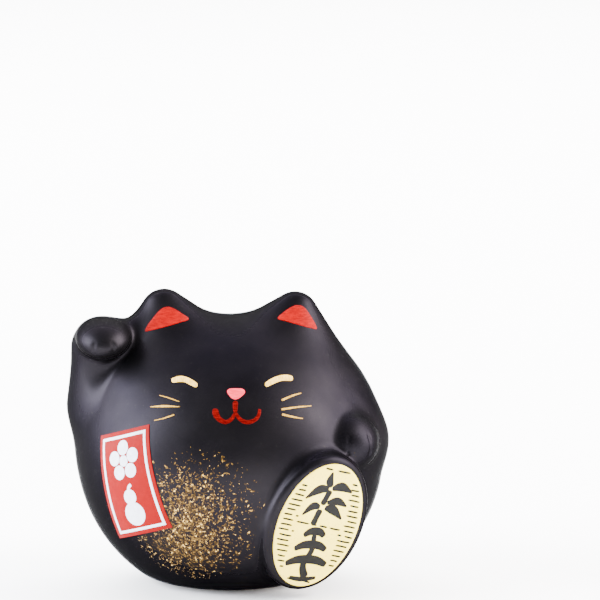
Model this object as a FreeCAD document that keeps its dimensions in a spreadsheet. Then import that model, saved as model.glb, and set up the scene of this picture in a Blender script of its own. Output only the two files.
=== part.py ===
import FreeCAD, Part
import Sketcher
import math
import os

Vector = FreeCAD.Vector
Rotation = FreeCAD.Rotation
Placement = FreeCAD.Placement

# A small black ceramic beckoning cat: one hollow casting with painted features, a red paper label
# and a gold foil koban coin.  +Z is up, the cat looks towards -Y and raises the paw on its own
# right side (-X).  The origin is the centre of the flat foot.
doc = FreeCAD.newDocument("BeckoningCat")

# ---------------------------------------------------------------- driving dimensions (millimetres)
SHEET_ROWS = [
    ("Round body",
     [("ball_half_width", 28.5), ("ball_half_depth", 25.5), ("ball_half_height_low", 27.6),
      ("ball_half_height_top", 22.8), ("ball_middle_height", 24.2), ("wall", 3.0),
      ("drain_hole_radius", 4.0)]),
    ("Ears",
     [("ear_tip_spread", 12.0), ("ear_tip_height", 49.5), ("ear_tip_radius", 4.2),
      ("ear_root_spread", 6.9), ("ear_root_height", 29.7), ("ear_root_radius", 19.0),
      ("ear_setback", 1.0), ("ear_flatness", 1.2), ("blend", 6.0)]),
    ("Raised arm and paw",
     [("raised_arm_x", -24.1), ("raised_arm_y", -1.0), ("raised_arm_foot_height", 29.0),
      ("raised_arm_length", 13.5), ("raised_arm_radius", 5.3), ("raised_paw_x", -23.5),
      ("raised_paw_y", -5.5), ("raised_paw_height", 46.5), ("raised_paw_half_width", 5.3),
      ("raised_paw_half_depth", 6.5), ("raised_paw_half_height", 3.8), ("raised_paw_lean", 8.0)]),
    ("Lower arm and paw",
     [("lower_arm_top_x", 18.5), ("lower_arm_top_height", 34.0), ("lower_arm_end_x", 21.5),
      ("lower_arm_end_height", 26.5), ("lower_arm_y", -4.0), ("lower_arm_radius", 4.6),
      ("lower_paw_x", 21.2), ("lower_paw_y", -12.1), ("lower_paw_height", 28.4),
      ("lower_paw_half_width", 5.7), ("lower_paw_half_depth", 6.6),
      ("lower_paw_half_height", 4.8), ("lower_paw_turn", 25.0)]),
    ("Tail",
     [("tail_y", 24.0), ("tail_height", 11.0), ("tail_half_length", 7.5),
      ("tail_half_width", 3.0), ("tail_lean", 32.0)]),
    ("Koban coin",
     [("koban_x", 15.0), ("koban_y", -20.9), ("koban_height", 14.4), ("koban_azimuth", 26.0),
      ("koban_pitch", -16.0), ("koban_roll", -9.0), ("boss_half_length", 13.6),
      ("boss_half_width", 10.2), ("boss_depth", 8.0), ("boss_bevel", 1.1),
      ("foil_half_length", 12.4), ("foil_half_width", 8.9), ("foil_thickness", 0.15),
      ("ink_thickness", 0.08), ("hatch_pitch", 1.05), ("hatch_length", 2.6),
      ("hatch_width", 0.26), ("hatch_margin", 0.5)]),
    ("Label",
     [("label_width", 12.8), ("label_height", 19.1), ("label_azimuth", -35.5),
      ("label_roll", 17.0), ("label_skew", 6.0), ("label_side_shift", -4.7),
      ("label_middle_height", 21.9),
      ("label_thickness", 0.15), ("label_reach", 36.0), ("label_blade_depth", 24.0),
      ("frame_inset", 0.9), ("frame_width", 0.62)]),
    ("Paint",
     [("paint_thickness", 0.10), ("face_reach", 34.0), ("face_blade_depth", 28.0),
      ("ear_paint_x", 12.0), ("ear_paint_top", 51.5), ("ear_paint_half_width", 3.9),
      ("ear_paint_depth", 4.1),
      ("ear_blade_depth", 34.0), ("eye_spread", 8.5), ("eye_height", 40.0),
      ("eye_half_span", 2.3), ("eye_rise", 0.6), ("eye_inner_drop", 0.5),
      ("eye_half_width", 0.52), ("nose_height", 38.5), ("nose_half_width", 1.75),
      ("nose_half_height", 0.9), ("nose_and_mouth_shift", 0.25),
      ("mouth_height", 35.4), ("mouth_half_span", 4.0), ("mouth_drop", 1.5),
      ("mouth_half_width", 0.42), ("whisker_root", 8.9), ("whisker_length", 5.2),
      ("whisker_height", 35.9), ("whisker_gap", 1.2), ("whisker_fan", 14.0),
      ("right_whisker_shift", 0.8),
      ("whisker_half_width", 0.22), ("fleck_count", 110),
      ("fleck_radius", 0.24), ("fleck_spread", 12.6), ("fleck_clearance", 1.2),
      ("fleck_x", -5.0), ("fleck_height", 16.5)]),
]

sheet = doc.addObject("Spreadsheet::Sheet", "Dimensions")
row = 1
for heading, entries in SHEET_ROWS:
    sheet.set("A%d" % row, heading)
    row += 1
    for alias, value in entries:
        sheet.set("A%d" % row, alias)
        sheet.set("B%d" % row, str(value))
        sheet.setAlias("B%d" % row, alias)
        row += 1
doc.recompute()


# the same values as plain numbers, for the form's surface, which asks for them very often
SIZES = {alias: value for heading, entries in SHEET_ROWS for alias, value in entries}


def dim(alias):
    """The value of one sheet cell."""
    return float(sheet.get(alias))


def bind(target, **links):
    """Ties each named property of an object to a sheet expression."""
    for prop, formula in links.items():
        target.setExpression(prop, formula)


def on_sheet(formula):
    """Turns the sheet aliases named in braces into sheet references."""
    return formula.replace("{", "Dimensions.").replace("}", "")


# ---------------------------------------------------------------- the freely modelled outer form
MIDDLE = Vector(0.0, 0.0, dim("ball_middle_height"))
STEP = 5.0                     # degrees between the rows and columns of the form's surface
FURTHEST = 45.0                # no part of the form is further than this from its middle
NEAREST = 6.0


def soft_join(first, second, radius):
    """Joins two distance values with a rounded valley of the given radius."""
    overlap = max(radius - abs(first - second), 0.0) / radius
    return min(first, second) - overlap * overlap * radius / 4.0


def ball_gap(x, y, z):
    """Signed distance, nearly, to the egg-shaped body."""
    rise = z - SIZES["ball_middle_height"]
    half_height = SIZES["ball_half_height_top" if rise > 0.0 else "ball_half_height_low"]
    radii = (SIZES["ball_half_width"], SIZES["ball_half_depth"], half_height)
    scaled = [value / radius for value, radius in zip((x, y, rise), radii)]
    level = math.sqrt(sum(value * value for value in scaled))
    slope = math.sqrt(sum((value / radius) ** 2 for value, radius in zip(scaled, radii)))
    return level * (level - 1.0) / max(slope, 1e-9)


def ear_gap(x, y, z, side):
    """Signed distance, nearly, to one ear: a rounded cone from deep in the head to the tip."""
    root_radius = SIZES["ear_root_radius"]
    tip_radius = SIZES["ear_tip_radius"]
    root = (side * SIZES["ear_root_spread"], SIZES["ear_root_height"])
    lean = side * SIZES["ear_tip_spread"] - root[0]
    rise = SIZES["ear_tip_height"] - root[1]
    length = math.hypot(lean, rise)
    across, up = x - root[0], z - root[1]
    along = (across * lean + up * rise) / length
    aside = (across * rise - up * lean) / length
    depth = (y - SIZES["ear_setback"]) * SIZES["ear_flatness"]
    away = math.hypot(aside, depth)
    taper = (root_radius - tip_radius) / length
    flank = math.sqrt(1.0 - taper * taper)
    place = along * flank - away * taper
    if place < 0.0:
        return math.hypot(along, away) - root_radius
    if place > length * flank:
        return math.hypot(along - length, away) - tip_radius
    return along * taper + away * flank - root_radius


def lower_arm_gap(x, y, z):
    """Distance to the lower arm, a soft ridge down the cat's left side."""
    top = Vector(SIZES["lower_arm_top_x"], SIZES["lower_arm_y"],
                 SIZES["lower_arm_top_height"])
    end = Vector(SIZES["lower_arm_end_x"], SIZES["lower_arm_y"],
                 SIZES["lower_arm_end_height"])
    run = end - top
    point = Vector(x, y, z) - top
    share = min(max(point.dot(run) / run.dot(run), 0.0), 1.0)
    return (point - run * share).Length - SIZES["lower_arm_radius"]


def form_gap(x, y, z):
    """Signed distance, nearly, to the whole form without the raised arm and the paws."""
    blend = SIZES["blend"]
    ears = soft_join(ear_gap(x, y, z, -1), ear_gap(x, y, z, 1), blend)
    head = soft_join(ears, ball_gap(x, y, z), blend * 0.8)
    return soft_join(head, lower_arm_gap(x, y, z), blend)


def form_point(azimuth, polar, offset):
    """The point of the form, grown by offset, in one direction from the body's middle."""
    direction = Vector(math.sin(polar) * math.cos(azimuth), math.sin(polar) * math.sin(azimuth),
                       math.cos(polar))
    near, far = NEAREST, FURTHEST
    while far - near > 0.0005:
        half = (near + far) / 2.0
        spot = MIDDLE + direction * half
        if form_gap(spot.x, spot.y, spot.z) > offset:
            far = half
        else:
            near = half
    return MIDDLE + direction * ((near + far) / 2.0)


def form_solid(offset):
    """The form grown by offset, as a closed cubic spline surface round the body's middle."""
    columns = int(round(360.0 / STEP))
    rows = int(round(180.0 / STEP))
    grid = [[form_point(math.radians(STEP * i), math.radians(STEP * j), offset)
             for j in range(rows + 1)] for i in range(columns)]
    poles = []
    for i in range(columns):
        line = [grid[i][0]]
        for j in range(1, rows):
            here = grid[i][j]
            round_bend = grid[i - 1][j] + grid[(i + 1) % columns][j] - here * 2.0
            down_bend = grid[i][j - 1] + grid[i][j + 1] - here * 2.0
            line.append(here - (round_bend + down_bend) / 6.0)
        line.append(grid[i][rows])
        poles.append(line)
    surface = Part.BSplineSurface()
    surface.buildFromPolesMultsKnots(
        poles, [1] * (columns + 1), [4] + [1] * (rows - 3) + [4],
        [float(k) for k in range(columns + 1)], [float(k) for k in range(rows - 1)],
        True, False, 3, 3)
    solid = Part.Solid(Part.Shell([surface.toShape()]))
    if solid.Volume < 0.0:
        solid.reverse()
    return solid


def form_feature(name, offset):
    """A document object that holds the form grown by offset."""
    feature = doc.addObject("Part::Feature", name)
    feature.Shape = form_solid(offset)
    return feature


# ---------------------------------------------------------------- helpers for common objects
def joined(name, members):
    fused = doc.addObject("Part::MultiFuse", name)
    fused.Shapes = members
    return fused


def cut_from(name, base, tool):
    cut = doc.addObject("Part::Cut", name)
    cut.Base = base
    cut.Tool = tool
    return cut


def shared_by(name, base, tool):
    common = doc.addObject("Part::Common", name)
    common.Base = base
    common.Tool = tool
    return common


def facing(azimuth, pitch, roll, origin):
    """Local +Z looks out at the azimuth from -Y and the pitch above level; roll turns about it."""
    turn = (Rotation(Vector(0, 0, 1), azimuth) * Rotation(Vector(1, 0, 0), 90.0 - pitch)
            * Rotation(Vector(0, 0, 1), roll))
    return Placement(origin, turn)


def ellipse_prism(name, half_length, half_width, thickness, placement, outward):
    """An elliptical plate with its long axis along local Y, bound to three sheet cells."""
    outline = doc.addObject("Part::Ellipse", name + "_outline")
    bind(outline, MajorRadius=on_sheet(half_length), MinorRadius=on_sheet(half_width))
    outline.Placement = placement * Placement(Vector(), Rotation(Vector(0, 0, 1), 90.0))
    plate = doc.addObject("Part::Extrusion", name)
    plate.Base = outline
    plate.DirMode = "Custom"
    plate.Dir = placement.Rotation.multVec(Vector(0, 0, 1 if outward else -1))
    plate.Solid = True
    bind(plate, LengthFwd=on_sheet(thickness))
    return plate


def brush_outline(path, half_widths):
    """A closed smooth outline round a path, with a half width at each of its points."""
    ends = [path[1] - path[0]] + [path[i + 1] - path[i - 1] for i in range(1, len(path) - 1)]
    ends.append(path[-1] - path[-2])
    along = [Vector(step).normalize() for step in ends]
    aside = [Vector(-step.y, step.x, 0.0) for step in along]
    left = [spot + side * width for spot, side, width in zip(path, aside, half_widths)]
    right = [spot - side * width for spot, side, width in zip(path, aside, half_widths)]
    ring = [path[0] - along[0] * half_widths[0]] + left
    ring += [path[-1] + along[-1] * half_widths[-1]] + right[::-1]
    curve = Part.BSplineCurve()
    curve.interpolate(ring, PeriodicFlag=True)
    return Part.Wire([curve.toShape()])


def round_outline(centre, radius):
    return Part.Wire([Part.Circle(centre, Vector(0, 0, 1), radius).toShape()])


def blade(name, outline, placement, depth, outward=False):
    """A flat outline, placed in space and drawn out along its own normal."""
    flat = doc.addObject("Part::Feature", name + "_outline")
    flat.Shape = Part.Face(outline)
    flat.Placement = placement
    prism = doc.addObject("Part::Extrusion", name)
    prism.Base = flat
    prism.DirMode = "Custom"
    prism.Dir = placement.Rotation.multVec(Vector(0, 0, 1 if outward else -1))
    prism.Solid = True
    bind(prism, LengthFwd=on_sheet(depth))
    return prism


def blades(name, outlines, placement, depth, outward=False):
    """Several blades as one object."""
    members = [blade("%s_%d" % (name, k), outline, placement, depth, outward)
               for k, outline in enumerate(outlines, start=1)]
    return joined(name, members) if len(members) > 1 else members[0]


# ---------------------------------------------------------------- body shell
form = form_feature("form", 0.0)
cavity_form = form_feature("cavity_form", -dim("wall"))
paint_form = form_feature("paint_form", dim("paint_thickness"))
label_form = form_feature("label_form", dim("label_thickness"))
print_form = form_feature("print_form", dim("label_thickness") + dim("ink_thickness"))

raised_arm = doc.addObject("Part::Cylinder", "raised_arm")
bind(raised_arm, Radius=on_sheet("{raised_arm_radius}"), Height=on_sheet("{raised_arm_length}"))
bind(raised_arm, **{"Placement.Base.x": on_sheet("{raised_arm_x}"),
                    "Placement.Base.y": on_sheet("{raised_arm_y}"),
                    "Placement.Base.z": on_sheet("{raised_arm_foot_height}")})


def ellipsoid(name, place, radii, rotation):
    """An ellipsoid with its centre and its x, y and z radii bound to the sheet."""
    body = doc.addObject("Part::Ellipsoid", name)
    body.Angle1 = -90.0
    body.Placement = Placement(Vector(), rotation)
    bind(body, Radius1=on_sheet(radii[2]), Radius2=on_sheet(radii[0]), Radius3=on_sheet(radii[1]))
    bind(body, **{"Placement.Base.x": on_sheet(place[0]), "Placement.Base.y": on_sheet(place[1]),
                  "Placement.Base.z": on_sheet(place[2])})
    return body


arm_top = ellipsoid(
    "raised_arm_top",
    ("{raised_arm_x}", "{raised_arm_y}", "{raised_arm_foot_height} + {raised_arm_length}"),
    ("{raised_arm_radius}", "{raised_arm_radius}", "{raised_arm_radius}"), Rotation())
arm_foot = ellipsoid(
    "raised_arm_foot", ("{raised_arm_x}", "{raised_arm_y}", "{raised_arm_foot_height}"),
    ("{raised_arm_radius}", "{raised_arm_radius}", "2 * {raised_arm_radius}"), Rotation())
raised_paw = ellipsoid(
    "raised_paw", ("{raised_paw_x}", "{raised_paw_y}", "{raised_paw_height}"),
    ("{raised_paw_half_width}", "{raised_paw_half_depth}", "{raised_paw_half_height}"),
    Rotation(Vector(1, 0, 0), dim("raised_paw_lean")))
lower_paw = ellipsoid(
    "lower_paw", ("{lower_paw_x}", "{lower_paw_y}", "{lower_paw_height}"),
    ("{lower_paw_half_width}", "{lower_paw_half_depth}", "{lower_paw_half_height}"),
    Rotation(Vector(0, 0, 1), dim("lower_paw_turn")))
tail = ellipsoid(
    "tail", ("0", "{tail_y}", "{tail_height}"),
    ("{tail_half_width}", "{tail_half_width}", "{tail_half_length}"),
    Rotation(Vector(0, 1, 0), dim("tail_lean")))

koban_place = facing(dim("koban_azimuth"), dim("koban_pitch"), dim("koban_roll"),
                     Vector(dim("koban_x"), dim("koban_y"), dim("koban_height")))
boss = ellipse_prism("boss", "{boss_half_length}", "{boss_half_width}", "{boss_depth}",
                     koban_place, outward=False)
doc.recompute()


def face_edge_index(shape, placement):
    """The number of the closed edge that lies in the plate's outer plane."""
    to_local = placement.inverse()
    for number, edge in enumerate(shape.Edges, start=1):
        spots = [to_local.multVec(spot) for spot in edge.discretize(8)]
        if all(abs(spot.z) < 1e-6 for spot in spots):
            return number
    raise RuntimeError("the boss has no outer rim")


bevelled_boss = doc.addObject("Part::Chamfer", "bevelled_boss")
bevelled_boss.Base = boss
bevelled_boss.Edges = [(face_edge_index(boss.Shape, koban_place), dim("boss_bevel"),
                        dim("boss_bevel"))]



def space_above(name, level_formula):
    """A box, larger than the cat, that keeps what is above a level."""
    box = doc.addObject("Part::Box", name)
    bind(box, Length=on_sheet("4 * {ball_half_width}"), Width=on_sheet("4 * {ball_half_depth}"),
         Height=on_sheet("3 * {ball_half_height_low}"))
    bind(box, **{"Placement.Base.x": on_sheet("-2 * {ball_half_width}"),
                 "Placement.Base.y": on_sheet("-2 * {ball_half_depth}"),
                 "Placement.Base.z": on_sheet(level_formula)})
    return box


above_floor = space_above("above_floor", "0 * {wall}")
above_wall = space_above("above_wall", "{wall}")

outer = joined("outer", [form, raised_arm, arm_top, arm_foot, raised_paw, lower_paw, tail,
                         bevelled_boss])
standing = shared_by("standing", outer, above_floor)
cavity = shared_by("cavity", cavity_form, above_wall)
hollow = cut_from("hollow", standing, cavity)
drain = doc.addObject("Part::Cylinder", "drain")
bind(drain, Radius=on_sheet("{drain_hole_radius}"), Height=on_sheet("3 * {wall}"))
bind(drain, **{"Placement.Base.z": on_sheet("-{wall}")})
body_shell = cut_from("body_shell", hollow, drain)

# ---------------------------------------------------------------- painted face and ears
paint_skin = cut_from("paint_skin", paint_form, form)
front = facing(0.0, 0.0, 0.0, Vector(0.0, -dim("face_reach"), 0.0))


def ear_outline(side):
    """The painted inside of one ear: a triangle with a rounded tip, leaning outwards."""
    middle, top = dim("ear_paint_x"), dim("ear_paint_top")
    half_width, depth = dim("ear_paint_half_width"), dim("ear_paint_depth")
    corners = [Vector(side * (middle + half_width * across), top - depth * down, 0)
               for across, down in ((1.0, 1.0), (0.48, 0.29), (0.0, 0.0), (-0.54, 0.12), (-1.0, 0.5))]
    crown = Part.BSplineCurve()
    crown.interpolate(corners)
    base = Part.LineSegment(corners[-1], corners[0])
    return Part.Wire([crown.toShape(), base.toShape()])


def eye_outline(side):
    """A closed, smiling eye: one arched brush stroke."""
    middle, height = dim("eye_spread"), dim("eye_height")
    half_span, rise, drop = dim("eye_half_span"), dim("eye_rise"), dim("eye_inner_drop")
    path = [Vector(side * (middle + half_span * out), height + rise * (1 - out ** 2) + drop * out / 2, 0)
            for out in (-1.0, -0.5, 0.0, 0.5, 1.0)]
    width = dim("eye_half_width")
    return brush_outline(path, [width * 0.8, width, width, width, width * 0.8])


def nose_outline():
    half_width, half_height = dim("nose_half_width"), dim("nose_half_height")
    middle = Vector(dim("nose_and_mouth_shift"), dim("nose_height"), 0)
    corners = [middle + Vector(half_width * across, half_height * up, 0)
               for across, up in ((-1.0, 0.4), (-0.3, 1.0), (0.6, 1.0), (1.0, 0.3), (0.35, -1.0),
                                  (-0.3, -1.0))]
    curve = Part.BSplineCurve()
    curve.interpolate(corners, PeriodicFlag=True)
    return Part.Wire([curve.toShape()])


def mouth_outlines():
    """The line under the nose and the two curls of the mouth."""
    middle, height, span = dim("nose_and_mouth_shift"), dim("mouth_height"), dim("mouth_half_span")
    drop, width = dim("mouth_drop"), dim("mouth_half_width")
    line_top = dim("nose_height") - 1.3 * dim("nose_half_height")
    outlines = [brush_outline([Vector(middle, line_top, 0), Vector(middle, (line_top + height) / 2, 0),
                               Vector(middle, height - width / 2, 0)],
                              [width * 1.1, width, width * 0.8])]
    for side in (-1, 1):
        turns = [math.pi * k / 5 for k in range(6)]
        path = [Vector(middle + side * span * (1 - math.cos(turn)) / 2,
                       height - drop * math.sin(turn) + 0.2 * drop * (1 - math.cos(turn)), 0)
                for turn in turns]
        outlines.append(brush_outline(path, [width] * len(path)))
    return outlines


def whisker_outlines(side):
    """Three tapered strokes that fan out from the cheek."""
    outlines = []
    width, length = dim("whisker_half_width"), dim("whisker_length")
    aside = dim("right_whisker_shift") if side < 0 else 0.0
    for row_number in (1, 0, -1):
        tilt = math.radians(row_number * dim("whisker_fan"))
        direction = Vector(side * math.cos(tilt), math.sin(tilt), 0)
        root = Vector(side * dim("whisker_root") - aside,
                      dim("whisker_height") + row_number * dim("whisker_gap"), 0)
        reach = length * (0.78 if row_number else 1.0)
        path = [root, root + direction * reach * 0.45, root + direction * reach]
        outlines.append(brush_outline(path, [width, width * 0.9, width * 0.3]))
    return outlines


pieces = [body_shell]
for side, side_name in ((-1, "right"), (1, "left")):
    ear_blade = blade("ear_blade_" + side_name, ear_outline(side), front, "{ear_blade_depth}")
    pieces.append(shared_by("ear_paint_" + side_name, ear_blade, paint_skin))
    eye_blade = blade("eye_blade_" + side_name, eye_outline(side), front, "{face_blade_depth}")
    pieces.append(shared_by("eye_paint_" + side_name, eye_blade, paint_skin))
    whisker_blades = blades("whisker_blades_" + side_name, whisker_outlines(side), front,
                            "{face_blade_depth}")
    pieces.append(shared_by("whiskers_" + side_name, whisker_blades, paint_skin))
nose_blade = blade("nose_blade", nose_outline(), front, "{face_blade_depth}")
pieces.append(shared_by("nose_paint", nose_blade, paint_skin))
mouth_blades = blades("mouth_blades", mouth_outlines(), front, "{face_blade_depth}")
mouth_bare = shared_by("mouth_bare", mouth_blades, paint_skin)
pieces.append(cut_from("mouth_paint", mouth_bare, nose_blade))

# ---------------------------------------------------------------- red label on the cat's right side
label_out = facing(dim("label_azimuth"), 0.0, dim("label_roll"), Vector())
across = facing(dim("label_azimuth"), 0.0, 0.0, Vector()).Rotation.multVec(Vector(1, 0, 0))
outward = label_out.Rotation.multVec(Vector(0, 0, 1))
label_out.Base = (across * dim("label_side_shift") + outward * dim("label_reach")
                  + Vector(0, 0, dim("label_middle_height")))


def origin_plane(body, role):
    return [plane for plane in body.Origin.OriginFeatures if plane.Role == role][0]


def add_label_outline(sketch, width_formula, height_formula):
    """A slightly skewed rectangle, centred on the sketch's origin and bound to the sheet."""
    constraint = Sketcher.Constraint
    first = sketch.GeometryCount
    half_width, half_height = dim("label_width") / 2, dim("label_height") / 2
    lean = half_height * math.tan(math.radians(dim("label_skew")))
    corners = [Vector(-half_width - lean, -half_height, 0), Vector(half_width - lean, -half_height, 0),
               Vector(half_width + lean, half_height, 0), Vector(-half_width + lean, half_height, 0)]
    for k in range(4):
        sketch.addGeometry(Part.LineSegment(corners[k], corners[(k + 1) % 4]), False)
    for k in range(4):
        sketch.addConstraint(constraint("Coincident", first + k, 2, first + (k + 1) % 4, 1))
    sketch.addConstraint(constraint("Horizontal", first))
    sketch.addConstraint(constraint("Horizontal", first + 2))
    sketch.addConstraint(constraint("Parallel", first + 1, first + 3))
    sketch.addConstraint(constraint("Symmetric", first, 1, first + 1, 2, -1, 1))
    across_row = sketch.addConstraint(constraint("DistanceX", first, 1, first, 2, 2 * half_width))
    up_row = sketch.addConstraint(
        constraint("DistanceY", first + 1, 1, first + 1, 2, 2 * half_height))
    lean_row = sketch.addConstraint(constraint("DistanceX", first + 1, 1, first + 1, 2, 2 * lean))
    sketch.setExpression("Constraints[%d]" % across_row, on_sheet(width_formula))
    sketch.setExpression("Constraints[%d]" % up_row, on_sheet(height_formula))
    sketch.setExpression("Constraints[%d]" % lean_row,
                         on_sheet("(%s) * tan({label_skew} * 1 deg)" % height_formula))


def label_body(name, outlines):
    """A PartDesign body: one or two nested label outlines padded inwards from its plane."""
    body = doc.addObject("PartDesign::Body", name)
    sketch = body.newObject("Sketcher::SketchObject", name + "_sketch")
    sketch.AttachmentSupport = [(origin_plane(body, "XY_Plane"), "")]
    sketch.MapMode = "FlatFace"
    for width_formula, height_formula in outlines:
        add_label_outline(sketch, width_formula, height_formula)
    pad = body.newObject("PartDesign::Pad", name + "_pad")
    pad.Profile = sketch
    pad.Reversed = True
    bind(pad, Length=on_sheet("{label_blade_depth}"))
    body.Placement = label_out
    return body


label_blade = label_body("label_blade", [("{label_width}", "{label_height}")])
frame_blade = label_body(
    "frame_blade",
    [("{label_width} - 2 * {frame_inset}", "{label_height} - 2 * {frame_inset}"),
     ("{label_width} - 2 * {frame_inset} - 2 * {frame_width}",
      "{label_height} - 2 * {frame_inset} - 2 * {frame_width}")])
label_skin = cut_from("label_skin", label_form, form)
print_skin = cut_from("print_skin", print_form, label_form)
pieces.append(shared_by("fortune_label", label_blade, label_skin))
pieces.append(shared_by("label_frame_print", frame_blade, print_skin))


def blossom_outlines(centre, size):
    """A plum blossom: five round petals round a middle."""
    outlines = [round_outline(centre, size * 0.34)]
    for k in range(5):
        turn = math.radians(90.0 + 72.0 * k)
        petal = centre + Vector(math.cos(turn), math.sin(turn), 0) * size * 0.58
        outlines.append(round_outline(petal, size * 0.36))
    return outlines


def gourd_outlines(centre, size):
    """A gourd: a small bulb on a large one, with a short stalk."""
    stalk = [centre + Vector(0, size * 0.7, 0), centre + Vector(size * 0.05, size * 0.95, 0),
             centre + Vector(size * 0.25, size * 1.15, 0)]
    return [round_outline(centre - Vector(0, size * 0.42, 0), size * 0.62),
            round_outline(centre + Vector(0, size * 0.42, 0), size * 0.40),
            brush_outline(stalk, [size * 0.12, size * 0.10, size * 0.12])]


upper_blades = blades("label_upper_blades", blossom_outlines(Vector(0, 4.1, 0), 3.2), label_out,
                      "{label_blade_depth}")
lower_blades = blades("label_lower_blades", gourd_outlines(Vector(0, -4.6, 0), 3.0), label_out,
                      "{label_blade_depth}")
pieces.append(shared_by("label_upper_motif", upper_blades, print_skin))
pieces.append(shared_by("label_lower_motif", lower_blades, print_skin))

# ---------------------------------------------------------------- koban foil and its print
koban_foil = ellipse_prism("koban_foil", "{foil_half_length}", "{foil_half_width}",
                           "{foil_thickness}", koban_place, outward=True)
pieces.append(koban_foil)
print_place = koban_place * Placement(Vector(0, 0, dim("foil_thickness")), Rotation())


def hatch_bars():
    """Short bars in rows along both edges of the coin, and whole ones at its ends."""
    half_length = dim("foil_half_length") - dim("hatch_margin")
    half_width = dim("foil_half_width") - dim("hatch_margin")
    width, thickness = dim("hatch_width"), dim("ink_thickness")
    rows = int(half_length / dim("hatch_pitch"))
    bars = []
    for row_number in range(-rows, rows + 1):
        height = row_number * dim("hatch_pitch")
        edge = half_width * math.sqrt(1.0 - (height / half_length) ** 2)
        length = min(dim("hatch_length") * (1.0 if row_number % 2 else 0.8), edge * 0.8)
        for side in (-1, 1):
            start = side * edge if side < 0 else edge - length
            bars.append(Part.makeBox(length, width, thickness,
                                     Vector(start, height - width / 2, 0)))
    return Part.makeCompound(bars)


koban_hatch = doc.addObject("Part::Feature", "koban_hatch_print")
koban_hatch.Shape = hatch_bars()
koban_hatch.Placement = print_place
pieces.append(koban_hatch)


def bamboo_outlines(centre, size):
    """A bamboo sprig: a jointed stem with broad pointed leaves."""
    def spot(across_share, up_share):
        return centre + Vector(across_share * size, up_share * size, 0)
    thick = size * 0.13
    return [
        brush_outline([spot(-0.25, -1.0), spot(-0.2, -0.65), spot(-0.14, -0.35)], [thick] * 3),
        brush_outline([spot(-0.14, -0.2), spot(-0.07, 0.15), spot(0.0, 0.5)], [thick] * 3),
        brush_outline([spot(-0.05, -0.25), spot(0.35, -0.4), spot(0.85, -0.75)],
                      [thick * 0.7, thick * 1.5, thick * 0.3]),
        brush_outline([spot(0.0, 0.45), spot(0.4, 0.5), spot(0.95, 0.25)],
                      [thick * 0.7, thick * 1.5, thick * 0.3]),
        brush_outline([spot(-0.1, 0.4), spot(-0.5, 0.35), spot(-0.95, -0.05)],
                      [thick * 0.7, thick * 1.5, thick * 0.3]),
        brush_outline([spot(0.0, 0.5), spot(-0.15, 0.8), spot(-0.1, 1.15)],
                      [thick * 0.8, thick * 1.3, thick * 0.3])]


def pine_outlines(centre, size):
    """A pine: three cloud-like tiers over a bent trunk."""
    def spot(across_share, up_share):
        return centre + Vector(across_share * size, up_share * size, 0)
    thick = size * 0.15
    outlines = [brush_outline([spot(0.1, -1.05), spot(-0.1, -0.5), spot(0.05, 0.1),
                               spot(0.0, 0.7)], [thick, thick * 0.8, thick * 0.7, thick * 0.6])]
    for height, reach in ((0.75, 0.5), (0.2, 0.7), (-0.4, 0.85)):
        outlines.append(brush_outline(
            [spot(-reach, height - 0.12), spot(-reach * 0.4, height + 0.04),
             spot(reach * 0.4, height + 0.04), spot(reach, height - 0.12)],
            [thick * 0.7, thick * 1.2, thick * 1.2, thick * 0.7]))
    return outlines


pieces.append(blades("koban_upper_motif", bamboo_outlines(Vector(0.3, 4.7, 0), 4.0), print_place,
                     "{ink_thickness}", outward=True))
pieces.append(blades("koban_lower_motif", pine_outlines(Vector(-0.2, -4.9, 0), 4.0), print_place,
                     "{ink_thickness}", outward=True))


# ---------------------------------------------------------------- spray of gold flecks
def belly_spot(across_front, height):
    """The form's point straight behind a place in front of the belly, and its normal."""
    near, far = -FURTHEST, 0.0
    while far - near > 0.01:
        half = (near + far) / 2.0
        if form_gap(across_front, half, height) > 0.0:
            near = half
        else:
            far = half
    skin = form.Shape.Faces[0].Surface
    along_round, along_down = skin.parameter(Vector(across_front, near, height))
    spot = skin.value(along_round, along_down)
    normal = skin.normal(along_round, along_down)
    return spot, normal if normal.dot(spot - MIDDLE) > 0.0 else -normal


def under_sticker(spot, placement, half_width, half_height):
    """Whether a place lies behind a rectangle drawn round a sticker."""
    local = placement.inverse().multVec(spot)
    return abs(local.x) < half_width and abs(local.y) < half_height


def fleck_discs():
    """Discs along a golden-angle spiral, closer together and larger near its middle."""
    discs = []
    count = int(dim("fleck_count"))
    golden_angle = math.pi * (3.0 - math.sqrt(5.0))
    for number in range(count):
        away = dim("fleck_spread") * ((number + 0.5) / count) ** 0.75
        turn = number * golden_angle
        spot, normal = belly_spot(dim("fleck_x") + away * math.cos(turn),
                                  dim("fleck_height") + away * math.sin(turn))
        if under_sticker(spot, label_out, dim("label_width") / 2 + dim("fleck_clearance"),
                         dim("label_height") / 2 + dim("fleck_clearance")):
            continue
        if under_sticker(spot, koban_place, dim("boss_half_width") + dim("fleck_clearance"),
                         dim("boss_half_length")):
            continue
        radius = dim("fleck_radius") * (1.5 - 0.5 * math.sin(number * 2.3) - 0.4 * number / count)
        discs.append(Part.makeCylinder(radius, dim("paint_thickness"), spot, normal))
    return Part.makeCompound(discs)


fleck_spray = doc.addObject("Part::Feature", "gold_fleck_spray")
fleck_spray.Shape = fleck_discs()
pieces.append(fleck_spray)

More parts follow.
